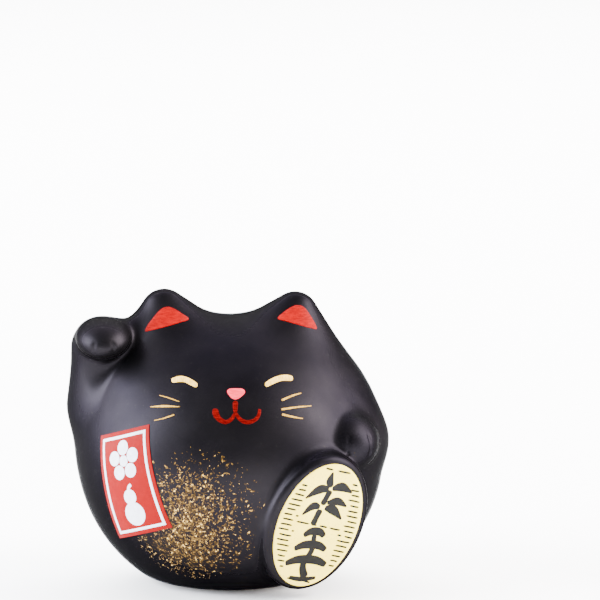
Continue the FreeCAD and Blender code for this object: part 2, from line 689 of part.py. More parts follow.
# ---------------------------------------------------------------- check and write
for piece in pieces:
    piece.Label = piece.Name
doc.recompute()
for item in doc.Objects:
    if "Invalid" in item.State or "Error" in item.State:
        raise RuntimeError("%s failed: %s" % (item.Name, item.State))
os.makedirs("parts", exist_ok=True)
for piece in pieces:
    shape = piece.Shape
    if shape.isNull() or not shape.isValid() or shape.Volume <= 0.0:
        raise RuntimeError("%s has no valid solid" % piece.Label)
    print("%-20s volume %9.2f solids %3d box %s" % (piece.Label, shape.Volume, len(shape.Solids),
                                                   shape.BoundBox))
    shape.exportStep("parts/%s.step" % piece.Label)
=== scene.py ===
import math

import bpy
import numpy as np
import openvdb
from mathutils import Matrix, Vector


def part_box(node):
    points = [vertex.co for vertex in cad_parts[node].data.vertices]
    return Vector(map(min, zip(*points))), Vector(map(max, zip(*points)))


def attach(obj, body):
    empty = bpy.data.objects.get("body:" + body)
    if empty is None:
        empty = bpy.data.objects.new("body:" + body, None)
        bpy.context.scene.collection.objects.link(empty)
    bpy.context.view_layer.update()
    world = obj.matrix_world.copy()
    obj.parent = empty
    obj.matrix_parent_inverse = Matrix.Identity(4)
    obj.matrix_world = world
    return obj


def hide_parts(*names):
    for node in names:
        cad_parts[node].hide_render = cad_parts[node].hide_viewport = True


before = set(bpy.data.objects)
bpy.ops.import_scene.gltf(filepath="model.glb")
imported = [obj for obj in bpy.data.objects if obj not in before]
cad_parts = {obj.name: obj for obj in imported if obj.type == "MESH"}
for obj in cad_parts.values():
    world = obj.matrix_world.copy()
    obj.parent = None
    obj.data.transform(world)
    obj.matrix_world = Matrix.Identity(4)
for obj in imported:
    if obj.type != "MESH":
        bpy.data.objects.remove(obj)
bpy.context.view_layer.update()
MM = 0.001
WHITE = (1.0, 1.0, 1.0)


def cad_box(node):
    """A CAD node's lowest and highest corner in millimetres."""
    low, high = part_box(node)
    return np.array(low) / MM, np.array(high) / MM


def cad_middle(node):
    low, high = cad_box(node)
    return (low + high) / 2.0


BODY_LOW, BODY_HIGH = cad_box("body_shell")

# ---------------------------------------------------------------- the cat's form, in millimetres
BALL_MIDDLE = 24.2
BALL_RADII = (28.3, 25.5, 27.8)
BALL_TOP_RADIUS = 22.8
EAR_SETBACK = 1.0
EAR_FLATNESS = 1.2
# each ear in front view: (x, z, radius) at its root and at its tip
RIGHT_EAR = ((-8.2, 29.7, 19.0), (-12.1, 50.0, 4.4))
LEFT_EAR = ((6.9, 29.7, 19.0), (12.0, 49.4, 4.3))
HOLE_RADIUS = 4.0
HOLE_DEPTH = 9.0
HOLE_ROUNDING = 0.6
FOOT_ROUNDING = 2.2
VOXEL = 0.36


def soft_min(first, second, radius):
    """Joins two distance fields with a rounded valley."""
    overlap = np.maximum(radius - np.abs(first - second), 0.0) / radius
    return np.minimum(first, second) - overlap * overlap * radius * 0.25


def soft_max(first, second, radius):
    return -soft_min(-first, -second, radius)


def smooth_step(low, high, value):
    share = np.clip((value - low) / (high - low), 0.0, 1.0)
    return share * share * (3.0 - 2.0 * share)


def turn_matrix(degrees_x=0.0, degrees_z=0.0):
    """Rotation about X, then Z, as columns of the turned axes."""
    a, c = math.radians(degrees_x), math.radians(degrees_z)
    about_x = np.array([[1, 0, 0], [0, math.cos(a), -math.sin(a)], [0, math.sin(a), math.cos(a)]])
    about_z = np.array([[math.cos(c), -math.sin(c), 0], [math.sin(c), math.cos(c), 0], [0, 0, 1]])
    return about_z @ about_x


def egg_field(q, radii):
    """Nearly the distance to an ellipsoid about the origin."""
    level = np.linalg.norm(q / radii, axis=-1)
    slope = np.linalg.norm(q / np.square(radii), axis=-1) + 1e-9
    return level * (level - 1.0) / slope


def ellipsoid_field(p, centre, radii, turn):
    return egg_field((p - centre) @ turn, radii)


def ball_field(p):
    """The round body, flatter above its widest level than below it."""
    q = p - np.array([0.0, 0.0, BALL_MIDDLE])
    half_height = np.where(q[..., 2] > 0.0, BALL_TOP_RADIUS, BALL_RADII[2])
    radii = np.stack([np.full_like(half_height, BALL_RADII[0]),
                      np.full_like(half_height, BALL_RADII[1]), half_height], axis=-1)
    return egg_field(q, radii)


def rounded_cone_field(p, start, end, start_radius, end_radius):
    """Distance to the hull of two balls."""
    start, end = np.array(start, float), np.array(end, float)
    run = end - start
    length = np.linalg.norm(run)
    q = p - start
    along = q @ (run / length)
    away = np.sqrt(np.maximum(np.sum(q * q, axis=-1) - along * along, 0.0))
    taper = (start_radius - end_radius) / length
    flank = math.sqrt(1.0 - taper * taper)
    place = along * flank - away * taper
    middle = along * taper + away * flank - start_radius
    near_start = np.hypot(along, away) - start_radius
    near_end = np.hypot(along - length, away) - end_radius
    return np.where(place < 0.0, near_start, np.where(place > length * flank, near_end, middle))


def ear_field(p, ear):
    """A cone from deep in the head to the ear's tip, a little flattened front to back."""
    (root_x, root_z, root_radius), (tip_x, tip_z, tip_radius) = ear
    q = p.copy()
    q[..., 1] = (q[..., 1] - EAR_SETBACK) * EAR_FLATNESS
    root, tip = (root_x, 0.0, root_z), (tip_x, 0.0, tip_z)
    return rounded_cone_field(q, root, tip, root_radius, tip_radius)


class Plate:
    """A flat place on the body: its middle, its axes and its outward normal."""

    def __init__(self, middle, azimuth, pitch, roll):
        a, b, c = (math.radians(angle) for angle in (azimuth, pitch, roll))
        self.middle = np.array(middle, float)
        self.out = np.array([math.sin(a) * math.cos(b), -math.cos(a) * math.cos(b), math.sin(b)])
        level = np.array([math.cos(a), math.sin(a), 0.0])
        rising = np.cross(self.out, level)
        self.across = level * math.cos(c) + rising * math.sin(c)
        self.up = rising * math.cos(c) - level * math.sin(c)

    def local(self, p):
        q = p - self.middle
        return q @ self.across, q @ self.up, q @ self.out

    def world(self, flat, lift=0.0):
        """Flat (across, up) points as places in space."""
        flat = np.asarray(flat, float)
        return (self.middle + flat[:, :1] * self.across + flat[:, 1:2] * self.up
                + np.reshape(lift, (-1, 1)) * self.out)


FOIL_THICKNESS = 0.15
# azimuth, pitch and roll in degrees
KOBAN_TURN = (26.0, -16.0, -9.0)
# the plate that the foil lies on, half the foil's thickness under its middle
KOBAN = Plate(cad_middle("koban_foil"), *KOBAN_TURN)
KOBAN.middle = KOBAN.middle - KOBAN.out * FOIL_THICKNESS / 2.0
FOIL_HALF = (8.75, 12.35)
BOSS_HALF = (10.4, 13.5)
BOSS_ROUNDING = 1.2
BOSS_DEPTH = 9.0


def boss_field(p):
    """The raised oval that carries the coin, with a rounded rim."""
    across, up, out = KOBAN.local(p)
    half_width, half_length = BOSS_HALF
    level = np.hypot(across / half_width, up / half_length)
    slope = np.hypot(across / half_width ** 2, up / half_length ** 2) + 1e-9
    beside = level * (level - 1.0) / slope + BOSS_ROUNDING
    above = np.abs(out + BOSS_DEPTH) - BOSS_DEPTH + BOSS_ROUNDING
    inside = np.minimum(np.maximum(beside, above), 0.0)
    return inside + np.hypot(np.maximum(beside, 0.0), np.maximum(above, 0.0)) - BOSS_ROUNDING


# arms as (start, end, start radius, end radius), and paws as a middle, radii and a turn
RAISED_ARM = ((-24.7, 1.5, 33.5), (-24.0, -2.2, 44.2), 4.8, 5.3)
RAISED_PAW = np.array([-23.4, -5.6, 46.5])
RAISED_PAW_RADII = np.array([5.0, 6.2, 3.5])
RAISED_PAW_TURN = turn_matrix(degrees_x=10.0)
LOWER_PAW = np.array([20.2, -12.4, 28.1])
LOWER_PAW_RADII = np.array([6.0, 6.2, 4.9])
LOWER_PAW_TURN = turn_matrix(degrees_z=25.0)
UPPER_ARM = ((20.0, -3.0, 33.5), (23.0, -4.5, 27.2), 3.9, 4.4)
FOREARM = ((22.9, -4.5, 27.2), LOWER_PAW, 4.4, 4.8)
# the middle of each arm's sharp crease against the body
RAISED_CREASE = np.array([-19.0, -13.0, 44.0])
LOWER_CREASE = np.array([19.5, -16.0, 28.0])
# how far each pair of forms is rounded into the other
EAR_BLEND = 6.2
HEAD_BLEND = 4.6
WRIST_BLEND = 1.2
LOWER_ARM_BLEND = 3.5
BOSS_BLEND = 1.3
TAIL_BLEND = 1.8
TOE_BLEND = 0.5


def toe_field(p, paw, turn, radii):
    """Two very shallow grooves over the front of a paw."""
    sideways, front, top_share, low_share = 0.34, -0.93, 0.42, -0.30
    grooves = []
    for side in (-1, 1):
        top = paw + turn @ (np.array([side * sideways, front, top_share]) * radii)
        low = paw + turn @ (np.array([side * sideways * 1.1, front, low_share]) * radii)
        grooves.append(rounded_cone_field(p, top, low, 0.06, 0.14))
    return np.minimum(*grooves)


def tail_field(p):
    """A short tail that lies curled against the back, as a chain of links."""
    low, high, steps = 4.0, 19.0, 14
    curl, curl_turn, sunk = 5.5, 2.1, 0.3
    spots, widths = [], []
    for share in np.linspace(0.0, 1.0, steps + 1):
        height = low + (high - low) * share
        sideways = curl * math.sin(share * curl_turn)
        rise = height - BALL_MIDDLE
        depth = BALL_RADII[1] * math.sqrt(1.0 - (sideways / BALL_RADII[0]) ** 2
                                          - (rise / BALL_RADII[2]) ** 2)
        spots.append((sideways, depth - sunk, height))
        widths.append(2.9 + 0.3 * math.sin(share * math.pi) - 0.6 * share)
    field = rounded_cone_field(p, spots[0], spots[1], widths[0], widths[1])
    for k in range(1, steps):
        link = rounded_cone_field(p, spots[k], spots[k + 1], widths[k], widths[k + 1])
        field = np.minimum(field, link)
    return field


def crease_blend(p, crease, sharp, extra, near, far):
    """A blend radius that is sharp at a crease and grows softer away from it."""
    return sharp + extra * smooth_step(near, far, np.linalg.norm(p - crease, axis=-1))


def cat_field(p):
    """Signed distance, nearly, to the cat's outside before its foot is cut flat."""
    ears = soft_min(ear_field(p, RIGHT_EAR), ear_field(p, LEFT_EAR), EAR_BLEND)
    field = soft_min(ears, ball_field(p), HEAD_BLEND)
    arm = rounded_cone_field(p, *RAISED_ARM)
    paw = ellipsoid_field(p, RAISED_PAW, RAISED_PAW_RADII, RAISED_PAW_TURN)
    arm = soft_min(arm, paw, WRIST_BLEND)
    field = soft_min(field, arm, crease_blend(p, RAISED_CREASE, 1.0, 4.5, 5.0, 13.0))
    upper_arm = rounded_cone_field(p, *UPPER_ARM)
    forearm = rounded_cone_field(p, *FOREARM)
    paw = ellipsoid_field(p, LOWER_PAW, LOWER_PAW_RADII, LOWER_PAW_TURN)
    arm = soft_min(upper_arm, soft_min(forearm, paw, LOWER_ARM_BLEND), LOWER_ARM_BLEND)
    field = soft_min(field, arm, crease_blend(p, LOWER_CREASE, 0.9, 3.2, 5.0, 12.0))
    field = soft_min(field, boss_field(p), BOSS_BLEND)
    field = soft_min(field, tail_field(p), TAIL_BLEND)
    toes = np.minimum(toe_field(p, RAISED_PAW, RAISED_PAW_TURN, RAISED_PAW_RADII),
                      toe_field(p, LOWER_PAW, LOWER_PAW_TURN, LOWER_PAW_RADII))
    return soft_max(field, -toes, TOE_BLEND)


def standing_field(p):
    """The cat with its flat foot, its rounded foot edge and its drain hole."""
    field = soft_max(cat_field(p), -p[..., 2], FOOT_ROUNDING)
    hole = np.maximum(np.hypot(p[..., 0], p[..., 1]) - HOLE_RADIUS, p[..., 2] - HOLE_DEPTH)
    return soft_max(field, -hole, HOLE_ROUNDING)


def slope_of(field, p, nudge=0.03):
    """The field's gradient at each point."""
    parts = []
    for axis in range(3):
        step = np.zeros(3)
        step[axis] = nudge
        parts.append((field(p + step) - field(p - step)) / (2.0 * nudge))
    return np.stack(parts, axis=-1)


def outward_at(p):
    """The cat's outward direction at each point."""
    slope = slope_of(cat_field, p)
    return slope / np.linalg.norm(slope, axis=-1, keepdims=True)


def land(points, direction):
    """Where each point meets the cat when it travels along a direction from outside."""
    steps, caution = 60, 0.8
    places = np.array(points, float)
    for _ in range(steps):
        places = places + direction * (cat_field(places) * caution)[:, None]
    return places


# ---------------------------------------------------------------- mesh and material helpers
def mesh_object(name, points, faces, sharp_degrees=None):
    """A smooth-shaded object from points in millimetres."""
    mesh = bpy.data.meshes.new(name)
    mesh.from_pydata((np.asarray(points) * MM).tolist(), [], [tuple(face) for face in faces])
    mesh.validate()
    mesh.polygons.foreach_set("use_smooth", [True] * len(mesh.polygons))
    if sharp_degrees is not None:
        mesh.set_sharp_from_angle(angle=math.radians(sharp_degrees))
    mesh.update()
    piece = bpy.data.objects.new(name, mesh)
    bpy.context.collection.objects.link(piece)
    return piece


def finish_piece(piece, material, node):
    """Gives a piece its material and its place in the frame, and hides the CAD node that it
    replaces.
    """
    piece.data.materials.append(material)
    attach(piece, "root")
    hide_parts(node)


# a Mix node's sockets for its share and for colours
MIX_SHARE, MIX_FIRST, MIX_SECOND, MIX_RESULT = 0, 6, 7, 2


class Shader:
    """A short way to write a node material round one Principled shader."""

    def __init__(self, name, base_color, roughness, **fixed):
        self.material = bpy.data.materials.new(name)
        self.material.use_nodes = True
        self.tree = self.material.node_tree
        self.surface = self.tree.nodes["Principled BSDF"]
        self.surface.inputs["Base Color"].default_value = (*base_color, 1.0)
        self.surface.inputs["Roughness"].default_value = roughness
        for socket, value in fixed.items():
            self.surface.inputs[socket.replace("_", " ")].default_value = value
        self.place = self.tree.nodes.new("ShaderNodeTexCoord").outputs["Object"]
        self.last_bump = None

    def node(self, kind, **inputs):
        """A node with its inputs linked or set, by socket name."""
        node = self.tree.nodes.new(kind)
        for socket, value in inputs.items():
            target = node.inputs[socket.replace("_", " ")]
            if isinstance(value, bpy.types.NodeSocket):
                self.tree.links.new(value, target)
            else:
                target.default_value = value
        return node

    def noise(self, scale, detail=3.0, stretch=None):
        """Noise by the object's own metres: scale is features per metre."""
        place = self.place
        if stretch is not None:
            place = self.node("ShaderNodeMapping", Vector=place, Scale=stretch).outputs["Vector"]
        return self.node("ShaderNodeTexNoise", Vector=place, Scale=scale, Detail=detail,
                         Roughness=0.55).outputs["Fac"]

    def band(self, value, low, high, out_low=0.0, out_high=1.0):
        """Maps a value's low to high range onto an output range, clamped."""
        node = self.node("ShaderNodeMapRange", Value=value)
        for socket, number in zip(("From Min", "From Max", "To Min", "To Max"),
                                  (low, high, out_low, out_high)):
            node.inputs[socket].default_value = number
        return node.outputs["Result"]

    def mix(self, share, first, second):
        """Mixes two colours."""
        node = self.tree.nodes.new("ShaderNodeMix")
        node.data_type = "RGBA"
        self.tree.links.new(share, node.inputs[MIX_SHARE])
        for socket, value in ((node.inputs[MIX_FIRST], first), (node.inputs[MIX_SECOND], second)):
            if isinstance(value, bpy.types.NodeSocket):
                self.tree.links.new(value, socket)
            else:
                socket.default_value = (*value, 1.0)
        return node.outputs[MIX_RESULT]

    def drive(self, socket, value):
        self.tree.links.new(value, self.surface.inputs[socket])

    def bump(self, height, distance_mm):
        """Adds a bump layer whose full height is distance_mm."""
        node = self.node("ShaderNodeBump", Height=height, Strength=1.0, Distance=distance_mm * MM)
        if self.last_bump is not None:
            self.tree.links.new(self.last_bump, node.inputs["Normal"])
        self.last_bump = node.outputs["Normal"]
        self.drive("Normal", self.last_bump)


# ---------------------------------------------------------------- materials
def black_ceramic():
    """Sprayed satin black over fired clay, a little uneven, with bare clay under the foot."""
    shader = Shader("black_satin_ceramic", (0.006, 0.006, 0.007), 0.40, Metallic=0.9,
                    Specular_IOR_Level=0.02, Specular_Tint=(0.12, 0.12, 0.12, 1.0))
    cloud = shader.noise(60.0, 4.0)
    black = shader.mix(shader.band(cloud, 0.35, 0.65),
                       (0.0070, 0.0064, 0.0082), (0.0100, 0.0091, 0.0106))
    dust = shader.band(shader.noise(1500.0, 2.0), 0.66, 0.78)
    dusty = shader.mix(dust, black, (0.012, 0.0115, 0.012))
    height = shader.node("ShaderNodeSeparateXYZ", Vector=shader.place).outputs["Z"]
    bare = shader.band(height, 0.10 * MM, 0.35 * MM, 1.0, 0.0)
    clay = shader.mix(shader.band(shader.noise(900.0), 0.3, 0.7),
                      (0.40, 0.33, 0.26), (0.55, 0.47, 0.38))
    shader.drive("Base Color", shader.mix(bare, dusty, clay))
    shader.drive("Roughness", shader.band(shader.noise(220.0, 4.0), 0.3, 0.7, 0.40, 0.47))
    shader.bump(shader.noise(95.0, 2.0), 0.05)
    shader.bump(shader.noise(2600.0, 3.0), 0.010)
    return shader.material


def brushed_paint(name, pale, deep, roughness, metallic=0.0, stretch=(1.0, 1.0, 5.0)):
    """Hand-brushed paint: streaks along the stroke and uneven cover."""
    shader = Shader(name, pale, roughness, Metallic=metallic, Specular_IOR_Level=0.02)
    streaks = shader.noise(900.0, 3.0, stretch=stretch)
    cover = shader.noise(420.0, 3.0)
    toned = shader.mix(shader.band(streaks, 0.35, 0.66), deep, pale)
    shader.drive("Base Color", shader.mix(shader.band(cover, 0.62, 0.80), toned, deep))
    shader.drive("Roughness", shader.band(cover, 0.3, 0.7, roughness - 0.06, roughness + 0.08))
    shader.bump(streaks, 0.03)
    return shader.material


def fleck_gold():
    """Gold flecks that range from pale gold to dark brown-gold."""
    shader = Shader("gold_fleck", (0.20, 0.11, 0.02), 0.36, Metallic=0.5, Specular_IOR_Level=0.1)
    tone = shader.noise(1900.0, 1.0)
    dark_gold = (0.030, 0.016, 0.003)
    pale_gold = (0.95, 0.64, 0.18)
    middle = shader.mix(shader.band(tone, 0.42, 0.60), dark_gold, (0.17, 0.095, 0.020))
    shader.drive("Base Color", shader.mix(shader.band(tone, 0.62, 0.75), middle, pale_gold))
    shader.drive("Roughness", shader.band(shader.noise(5000.0), 0.3, 0.7, 0.28, 0.50))
    shader.bump(shader.noise(7000.0), 0.01)
    return shader.material


def printed_paper(name, color):
    """Matt printed sticker paper with a fine grain and slight ink mottling."""
    roughness = 0.55
    shader = Shader(name, color, roughness, Specular_IOR_Level=0.04)
    mottle = shader.noise(1300.0, 4.0)
    darker = tuple(channel * 0.84 for channel in color)
    shader.drive("Base Color", shader.mix(shader.band(mottle, 0.32, 0.68), darker, color))
    shader.drive("Roughness", shader.band(shader.noise(500.0), 0.3, 0.7,
                                          roughness - 0.08, roughness + 0.08))
    shader.bump(shader.noise(5200.0, 2.0), 0.010)
    shader.bump(shader.noise(160.0, 2.0), 0.04)
    return shader.material


def koban_gold():
    """Pale satin gold foil laminated on paper, very slightly dented."""
    shader = Shader("koban_foil_gold", (0.90, 0.74, 0.14), 0.38, Metallic=0.15,
                    Specular_IOR_Level=0.12)
    broad = shader.noise(130.0, 3.0)
    toned = shader.mix(shader.band(broad, 0.35, 0.65), (0.82, 0.64, 0.07), (0.92, 0.75, 0.11))
    grain = shader.band(shader.noise(3800.0, 2.0), 0.58, 0.74)
    shader.drive("Base Color", shader.mix(grain, toned, (0.62, 0.44, 0.05)))
    shader.drive("Roughness", shader.band(broad, 0.3, 0.7, 0.32, 0.46))
    shader.bump(shader.noise(3800.0, 2.0), 0.006)
    shader.bump(broad, 0.05)
    return shader.material


def black_ink():
    """Screen-printed black with tiny pinholes of thinner ink."""
    shader = Shader("black_print_ink", (0.004, 0.004, 0.004), 0.5, Specular_IOR_Level=0.08)
    thin = shader.band(shader.noise(4200.0, 2.0), 0.62, 0.78)
    shader.drive("Base Color", shader.mix(thin, (0.003, 0.003, 0.003), (0.010, 0.009, 0.006)))
    shader.drive("Roughness", shader.band(shader.noise(900.0), 0.3, 0.7, 0.42, 0.58))
    shader.bump(shader.noise(4200.0, 2.0), 0.004)
    return shader.material


# ---------------------------------------------------------------- body
def body_mesh():
    """The cat's outside: a voxel surface of the form, drawn onto its exact level."""
    room, front_room, room_below = 3.0, 2.0, 4.0 * VOXEL
    low = np.array([BODY_LOW[0] - room, BODY_LOW[1] - front_room, -room_below])
    high = BODY_HIGH + room
    counts = np.ceil((high - low) / VOXEL).astype(int) + 1
    levels = np.empty(counts, dtype=np.float32)
    across = low[0] + np.arange(counts[0]) * VOXEL
    grid_y, grid_z = np.meshgrid(low[1] + np.arange(counts[1]) * VOXEL,
                                 low[2] + np.arange(counts[2]) * VOXEL, indexing="ij")
    for k, x in enumerate(across):
        slab = np.stack([np.full_like(grid_y, x), grid_y, grid_z], axis=-1)
        levels[k] = standing_field(slab)
    # the grid holds levels in voxels, cut off this far from the surface
    deepest = 3.0
    grid = openvdb.FloatGrid(background=deepest)
    grid.copyFromArray(np.clip(levels / VOXEL, -deepest, deepest))
    points, quads = grid.convertToQuads(isovalue=0.0)
    points = low + points.astype(float) * VOXEL
    rounds, least_steepness, farthest = 3, 0.2, 0.4 * VOXEL
    for _ in range(rounds):
        slope = slope_of(standing_field, points)
        steepness = np.maximum(np.sum(slope * slope, axis=-1), least_steepness)
        move = slope * (standing_field(points) / steepness)[:, None]
        points = points - np.clip(move, -farthest, farthest)
    return points, quads[:, ::-1]


def build_body():
    points, quads = body_mesh()
    piece = mesh_object("ceramic_body", points, quads.tolist())
    finish_piece(piece, black_ceramic(), "body_shell")


# ---------------------------------------------------------------- flat shapes laid on a surface
# an upright plane ahead of the cat, whose flat points are the model's x and z
FRONT = Plate((0.0, -45.0, 0.0), 0.0, 0.0, 0.0)
# a lift is a share of a layer's thickness, and this one marks a rim that is sunk into the surface
SUNK = -0.02
SUNK_DEPTH = 0.03
# the small step that keeps one shape of a layer off the shape before it
STACK_STEP = 0.0015
# a stroke's section from its rim inward, as (share of the half width, lift)
RIM_LEVELS = ((1.0, SUNK), (1.0, 0.55), (0.93, 0.9), (0.6, 1.0))


def curve_through(points, count):
    """A smooth open curve through a few points, evenly divided."""
    steps = 24
    points = np.array(points, float)
    padded = np.vstack([2 * points[0] - points[1], points, 2 * points[-1] - points[-2]])
    fine = []
    for k in range(1, len(padded) - 2):
        p0, p1, p2, p3 = padded[k - 1:k + 3]
        for t in np.linspace(0.0, 1.0, steps, endpoint=False):
            fine.append(0.5 * (2 * p1 + (p2 - p0) * t + (2 * p0 - 5 * p1 + 4 * p2 - p3) * t * t
                               + (3 * p1 - p0 - 3 * p2 + p3) * t ** 3))
    fine.append(padded[-2])
    fine = np.array(fine)
    gone = np.concatenate([[0.0], np.cumsum(np.linalg.norm(np.diff(fine, axis=0), axis=1))])
    even = np.linspace(0.0, gone[-1], count)
    columns = [np.interp(even, gone, fine[:, axis]) for axis in range(fine.shape[1])]
    return np.stack(columns, axis=1)


def stroke(path, half_widths, count=36):
    """A brush stroke with round ends as (flat points, lifts, faces)."""
    table = curve_through([(*spot, width) for spot, width in zip(path, half_widths)], count)
    spine, width = table[:, :2], np.maximum(table[:, 2], 0.02)
    step = np.gradient(spine, axis=0)
    along = step / np.linalg.norm(step, axis=1, keepdims=True)
    gone = np.concatenate([[0.0], np.cumsum(np.linalg.norm(np.diff(spine, axis=0), axis=1))])
    cap = np.ones(count)
    for distance, radius in ((gone, width[0]), (gone[-1] - gone, width[-1])):
        inside = np.clip(1.0 - distance / radius, 0.0, 1.0)
        cap = np.minimum(cap, np.sqrt(np.maximum(1.0 - inside ** 2, 0.0004)))
    aside = np.stack([-along[:, 1], along[:, 0]], axis=1) * (width * cap)[:, None]
    shares = [share for share, _ in RIM_LEVELS] + [0.0]
    shares = [-share for share in shares] + shares[-2::-1]
    lifts = [lift for _, lift in RIM_LEVELS] + [1.0]
    lifts = lifts + lifts[-2::-1]
    columns = len(shares)
    flat = spine[:, None] + aside[:, None] * np.array(shares)[None, :, None]
    lift = np.tile(np.array(lifts), (count, 1))
    lift[0] = lift[-1] = SUNK
    faces = [(i * columns + j, (i + 1) * columns + j, (i + 1) * columns + j + 1, i * columns + j + 1)
             for i in range(count - 1) for j in range(columns - 1)]
    return flat.reshape(-1, 2), lift.reshape(-1), faces


def blob(outline, rings=(0.97, 0.9, 0.7, 0.45, 0.2)):
    """A filled closed outline as (flat points, lifts, faces)."""
    outline = np.array(outline, float)
    middle = outline.mean(axis=0)
    count = len(outline)
    layers = [*RIM_LEVELS[:2], (rings[0], 0.9)] + [(share, 1.0) for share in rings[1:]]
    flat = np.concatenate([middle + (outline - middle) * share for share, _ in layers] + [[middle]])
    lift = np.concatenate([np.full(count, value) for _, value in layers] + [[1.0]])
    faces = []
    for ring in range(len(layers) - 1):
        for k in range(count):
            after = (k + 1) % count
            faces.append((ring * count + k, ring * count + after,
                          (ring + 1) * count + after, (ring + 1) * count + k))
    last = (len(layers) - 1) * count
    faces += [(last + k, last + (k + 1) % count, len(flat) - 1) for k in range(count)]
    return flat, lift, faces


def closed_curve(points, count):
    """A smooth closed outline through a few points, from a curve that passes its ends twice."""
    looped = points[-2:] + points + points[:2]
    fine = curve_through(looped, count * 6)
    gone = np.concatenate([[0.0], np.cumsum(np.linalg.norm(np.diff(fine, axis=0), axis=1))])
    start = np.argmin(np.linalg.norm(fine[:count * 3] - points[0], axis=1))
    tail = fine[count * 3:]
    end = count * 3 + np.argmin(np.linalg.norm(tail - points[0], axis=1))
    even = np.linspace(gone[start], gone[end], count, endpoint=False)
    return np.stack([np.interp(even, gone, fine[:, axis]) for axis in (0, 1)], axis=1)


def ellipse(centre, radii, count):
    turns = np.linspace(0.0, 2.0 * math.pi, count, endpoint=False)
    return np.array(centre) + np.stack([np.cos(turns), np.sin(turns)], axis=1) * radii


def disc(centre, radius):
    return blob(ellipse(centre, radius, 40))


def lay(name, shapes, plate, base_lift, thickness, on_form=True):
    """Lays flat shapes on the cat along a plate's direction, or straight on the plate."""
    points, faces, start = [], [], 0
    for number, (flat, lift, shape_faces) in enumerate(shapes):
        height = np.where(lift < 0.0, -SUNK_DEPTH, lift * thickness)
        height = base_lift + height + number * STACK_STEP
        if on_form:
            spots = land(plate.world(flat), -plate.out)
            spots = spots + outward_at(spots) * height[:, None]
        else:
            spots = plate.world(flat, height)
        points.append(spots)
        faces += [tuple(corner + start for corner in face) for face in shape_faces]
        start += len(flat)
    return mesh_object(name, np.concatenate(points), faces, sharp_degrees=55.0)


def inside_box(node, shares):
    """Places given as shares of a CAD piece's box, seen from the front."""
    low, high = cad_box(node)
    return [(low[0] + (high[0] - low[0]) * x, low[2] + (high[2] - low[2]) * z) for x, z in shares]


# ---------------------------------------------------------------- face and ears
# every place in these tables is a share of its CAD piece's box, seen from the front
EAR_OUTLINES = {
    "right": [(0.02, 0.04), (0.16, 0.45), (0.38, 0.90), (0.54, 1.03), (0.70, 0.96), (0.88, 0.76),
              (1.05, 0.53), (0.85, 0.42), (0.52, 0.26), (0.20, 0.10)],
    "left": [(0.82, 0.10), (0.54, 0.26), (0.25, 0.42), (0.06, 0.52), (0.20, 0.75), (0.38, 0.95),
             (0.55, 1.03), (0.71, 0.90), (0.88, 0.45), (0.98, 0.04)]}
EYE_PATHS = {
    "right": [(0.0, 0.46), (0.25, 0.66), (0.45, 0.66), (0.65, 0.45), (0.85, 0.16)],
    "left": [(0.93, 0.56), (0.74, 0.68), (0.50, 0.70), (0.22, 0.50), (-0.04, 0.18)]}
NOSE_OUTLINE = [(0.09, 0.66), (0.20, 0.88), (0.50, 0.92), (0.86, 0.87), (0.98, 0.62), (0.80, 0.32),
                (0.54, 0.10), (0.30, 0.20)]
# strokes as (path, half widths in millimetres), with a point count for the mouth
MOUTH_STROKES = [
    ([(0.49, 0.98), (0.485, 0.75), (0.48, 0.48)], [0.52, 0.46, 0.36], 36),
    ([(0.48, 0.48), (0.41, 0.22), (0.29, 0.07), (0.16, 0.18), (0.08, 0.42), (0.08, 0.66)],
     [0.26, 0.30, 0.34, 0.44, 0.56, 0.55], 48),
    ([(0.48, 0.48), (0.58, 0.18), (0.72, 0.05), (0.88, 0.14), (0.965, 0.36), (0.985, 0.62)],
     [0.26, 0.32, 0.34, 0.32, 0.30, 0.26], 48)]
WHISKER_STROKES = {
    "right": [([(0.27, 0.91), (0.62, 0.84), (0.93, 0.75)], [0.04, 0.08, 0.05]),
              ([(-0.04, 0.48), (0.44, 0.56), (0.94, 0.58)], [0.04, 0.17, 0.04]),
              ([(0.08, 0.02), (0.42, 0.14), (0.76, 0.30)], [0.03, 0.09, 0.10])],
    "left": [([(-0.03, 0.78), (0.33, 0.90), (0.66, 0.96)], [0.17, 0.14, 0.06]),
             ([(-0.05, 0.47), (0.45, 0.50), (0.98, 0.49)], [0.16, 0.13, 0.05]),
             ([(-0.03, 0.30), (0.33, 0.18), (0.68, 0.08)], [0.18, 0.14, 0.06])]}


def build_ear_paint(side_name, material):
    node = "ear_paint_" + side_name
    outline = closed_curve(inside_box(node, EAR_OUTLINES[side_name]), 80)
    piece = lay(node + "_brushed", [blob(outline)], FRONT, 0.0, 0.06)
    finish_piece(piece, material, node)


def build_eye(side_name, material):
    node = "eye_paint_" + side_name
    shape = stroke(inside_box(node, EYE_PATHS[side_name]), [0.33, 0.43, 0.42, 0.43, 0.34])
    piece = lay(node + "_stroke", [shape], FRONT, 0.0, 0.08)
    finish_piece(piece, material, node)


def build_nose(material):
    outline = closed_curve(inside_box("nose_paint", NOSE_OUTLINE), 60)
    piece = lay("nose_blob", [blob(outline)], FRONT, 0.0, 0.10)
    finish_piece(piece, material, "nose_paint")


def build_mouth(material):
    shapes = [stroke(inside_box("mouth_paint", path), widths, count)
              for path, widths, count in MOUTH_STROKES]
    piece = lay("mouth_strokes", shapes, FRONT, 0.0, 0.05)
    finish_piece(piece, material, "mouth_paint")


def build_whiskers(side_name, material):
    node = "whiskers_" + side_name
    shapes = [stroke(inside_box(node, path), widths) for path, widths in WHISKER_STROKES[side_name]]
    piece = lay(node + "_strokes", shapes, FRONT, 0.0, 0.05)
    finish_piece(piece, material, node)


